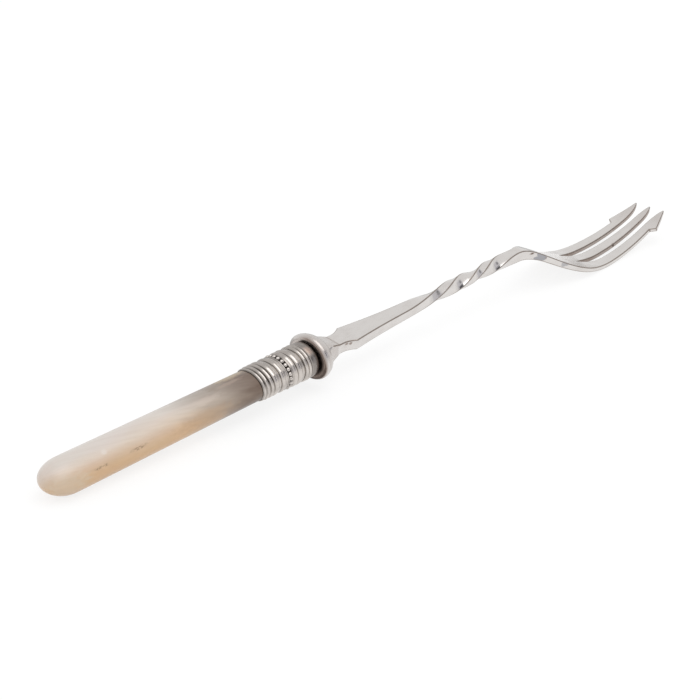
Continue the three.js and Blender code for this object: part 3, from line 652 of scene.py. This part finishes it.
for point in bm.verts:
    point[tarnish_and_shade] = fork_tarnish_and_shade(point.co)
# The slot walls between the tines are painted brown and darker towards the roots: partly tarnish, partly
# painted shade deep between the tines.
grime_and_shade = bm.faces.layers.float.new("grime_and_shade")
for face in bm.faces:
    centre = face.calc_center_median()
    if centre.x > ROOT_X and abs(face.normal.y) > 0.5 and 0.5 < abs(centre.y) < 4.6:
        face[grime_and_shade] = between(0.79, 0.6, eased(centre.x, ROOT_X + 4, ROOT_X + 14))
fork = set_down(bm, "fork_forging", fork_lay, "fork")
rounding = fork.modifiers.new("worn_edges", "BEVEL")
rounding.width = 0.24 * MILLIMETRE
rounding.segments = 3
rounding.limit_method = "WEIGHT"
rounding.use_clamp_overlap = False
rounding.harden_normals = True
rounding.material = 1


FORK_SILVER, FORK_STAIN = (0.71, 0.682, 0.66, 1), (0.22, 0.145, 0.108, 1)
EDGE_SHADE_SILVER, EDGE_STAIN = (0.33, 0.285, 0.255, 1), (0.15, 0.105, 0.08, 1)
DULL_BLUE = (0.32, 0.323, 0.348, 1)
arch_marks = (((77.8, -2.6, 0.6), (0.9, 0.7, 0.35), 0.85), ((81.5, -4.1, -1.4), (0.5, 0.6, 0.6), 0.6))
neck_dents = (((10.4, -2.4, 0.4), (0.7, 0.8, 0.5), 0.72), ((11.5, -2.6, 0.3), (0.6, 0.8, 0.5), 0.72))
tine_nick = ((113.9, -1.55, -9.3), (0.7, 0.7, 0.8), 0.9)
flange_stain = ((0.05, -5.4, -1.7), (0.6, 0.6, 0.9), 0.9)
fork_silver, tree, surface, place = silver_finish(
    "fork_silver", 0.0, FORK_SILVER, FORK_STAIN, smudge=0.09, rough=0.15, polish=0.05,
    marks=(*arch_marks, *neck_dents, tine_nick, flange_stain))
for centre, reach, strength in (((80.1, -3.6, -0.9), (2.7, 1.6, 1.5), 0.85),
                                ((86.8, -6.15, -4.3), (2.1, 1.0, 0.9), 0.6)):
    patch = stepped(tree, spot_mask(tree, place, centre, reach, 1.0), 0.2, 0.6, 0.0, strength)
    lay_over(tree, surface, patch, DULL_BLUE)
# The rounded edges take a darker silver, a painted dark reflection that draws a line along every edge; on
# edges that face downwards it fades back to the plain silver.
edge_silver_painted_shade, tree, surface, _ = silver_finish(
    "edge_silver_painted_shade", 0.0, EDGE_SHADE_SILVER, EDGE_STAIN, smudge=0.2, rough=0.25, polish=0.03)
facing = put(tree, "ShaderNodeTexCoord").outputs["Normal"]
facing_up = put(tree, "ShaderNodeSeparateXYZ", {0: facing}).outputs[2]
lay_over(tree, surface, stepped(tree, facing_up, -0.5, -0.1, 0.75, 0.0), FORK_SILVER)
fork.data.materials.append(fork_silver)
fork.data.materials.append(edge_silver_painted_shade)


# The table is a plain white sheet, larger than the picture.
# It shows white, also in the polished metal, and keeps a soft shadow under the fork.
floor_mesh = bpy.data.meshes.new("white_table")
bm = bmesh.new()
bmesh.ops.create_grid(bm, x_segments=1, y_segments=1, size=3.0)
bm.to_mesh(floor_mesh)
bm.free()
floor = bpy.data.objects.new("white_table", floor_mesh)
bpy.context.scene.collection.objects.link(floor)
table_white, tree, surface = fresh_finish("table_white")
surface.inputs["Base Color"].default_value = (0.9, 0.9, 0.9, 1)
surface.inputs["Roughness"].default_value = 0.9
surface.inputs["Specular IOR Level"].default_value = 0.0
glow = put(tree, "ShaderNodeEmission", {"Color": (1, 1, 1, 1), "Strength": 1.06})
rays = put(tree, "ShaderNodeLightPath").outputs
seen = reckon(tree, "MAXIMUM", rays["Is Camera Ray"], rays["Is Glossy Ray"])
seen = reckon(tree, "MAXIMUM", seen, rays["Is Transmission Ray"])
blend = put(tree, "ShaderNodeMixShader", {0: reckon(tree, "MULTIPLY", seen, 0.75), 1: surface.outputs[0],
                                          2: glow.outputs[0]})
tree.links.new(blend.outputs[0], tree.nodes["Material Output"].inputs["Surface"])
floor_mesh.materials.append(table_white)


# The studio is a pale tent with a soft lamp over the fork.
# Cards stand above the fork and beside it, and a grey sheet lies behind its arch.
# The lamp lights without being mirrored, and the cards are seen only in the polished metal.
world = bpy.data.worlds.new("pale_tent")
bpy.context.scene.world = world
world.use_nodes = True
world.node_tree.nodes["Background"].inputs["Color"].default_value = (1, 1, 1, 1)
world.node_tree.nodes["Background"].inputs["Strength"].default_value = 0.9


def beside_fork(along, slant, distance):
    slant = math.radians(slant)
    return (Matrix.Translation((along, -distance * math.sin(slant), distance * math.cos(slant)))
            @ Matrix.Rotation(slant, 4, "X"))


lamp_data = bpy.data.lights.new("soft_lamp", "AREA")
lamp_data.shape = "RECTANGLE"
lamp_data.size, lamp_data.size_y = 0.7, 0.7
lamp_data.energy = 1.6
lamp = bpy.data.objects.new("soft_lamp", lamp_data)
lamp.matrix_world = beside_fork(0.3, 7, 1.05)
lamp.visible_glossy = False
bpy.context.scene.collection.objects.link(lamp)
for name, lay, half_width, half_height, shade in (
        ("white_card", beside_fork(-0.03, 14, 1.0), 0.45, 0.45, (2.0, 2.0, 2.0, 1)),
        ("grey_card", beside_fork(0.5, 55, 1.1), 1.2, 0.44, (0.68, 0.68, 0.72, 1)),
        ("dark_card", beside_fork(1.0, 45, 1.05), 0.3, 0.12, (0.2, 0.2, 0.21, 1)),
        ("black_strip", beside_fork(0.27, 54, 1.0), 0.16, 0.27, (0.03, 0.03, 0.04, 1)),
        ("grey_sheet", Matrix.Translation((0.15, 0.12, 0.0005)), 0.2, 0.1, (0.6, 0.6, 0.6, 1))):
    mesh = bpy.data.meshes.new(name)
    bm = bmesh.new()
    bmesh.ops.create_grid(bm, x_segments=1, y_segments=1, size=1)
    bmesh.ops.scale(bm, verts=bm.verts, vec=(half_width, half_height, 1))
    bmesh.ops.transform(bm, matrix=lay, verts=bm.verts)
    bm.to_mesh(mesh)
    bm.free()
    card = bpy.data.objects.new(name, mesh)
    bpy.context.scene.collection.objects.link(card)
    card_finish, tree, _ = fresh_finish(name)
    flat = put(tree, "ShaderNodeEmission", {"Color": shade, "Strength": 1.0})
    tree.links.new(flat.outputs[0], tree.nodes["Material Output"].inputs["Surface"])
    mesh.materials.append(card_finish)
    card.visible_camera = card.visible_diffuse = card.visible_shadow = card.visible_transmission = False


# The camera stands behind the handle and to one side, and looks down with a long lens.
# The whole fork lies across the picture, from the butt at the lower left to the tines at the upper right.
VIEW_AZIMUTH, VIEW_ELEVATION = math.radians(-46.033), math.radians(25.07)
VIEW_BACK, VIEW_RIGHT, VIEW_UP = 0.42908, -0.010154, -0.001036
SENSOR_WIDTH, FOCAL_PIXELS, PICTURE_PIXELS = 36.0, 1800, 700
backwards = Vector((math.sin(VIEW_AZIMUTH) * math.cos(VIEW_ELEVATION),
                    -math.cos(VIEW_AZIMUTH) * math.cos(VIEW_ELEVATION), math.sin(VIEW_ELEVATION)))
rightwards = Vector((math.cos(VIEW_AZIMUTH), math.sin(VIEW_AZIMUTH), 0))
upwards = backwards.cross(rightwards)
camera_data = bpy.data.cameras.new("long_lens")
camera_data.sensor_width = SENSOR_WIDTH
camera_data.lens = SENSOR_WIDTH * FOCAL_PIXELS / PICTURE_PIXELS
camera_data.clip_start = 0.01
camera = bpy.data.objects.new("long_lens", camera_data)
camera.location = VIEW_BACK * backwards + VIEW_RIGHT * rightwards + VIEW_UP * upwards
camera.rotation_euler = backwards.to_track_quat("Z", "Y").to_euler()
bpy.context.scene.collection.objects.link(camera)
bpy.context.scene.camera = camera
bpy.context.scene.view_settings.view_transform = "Standard"
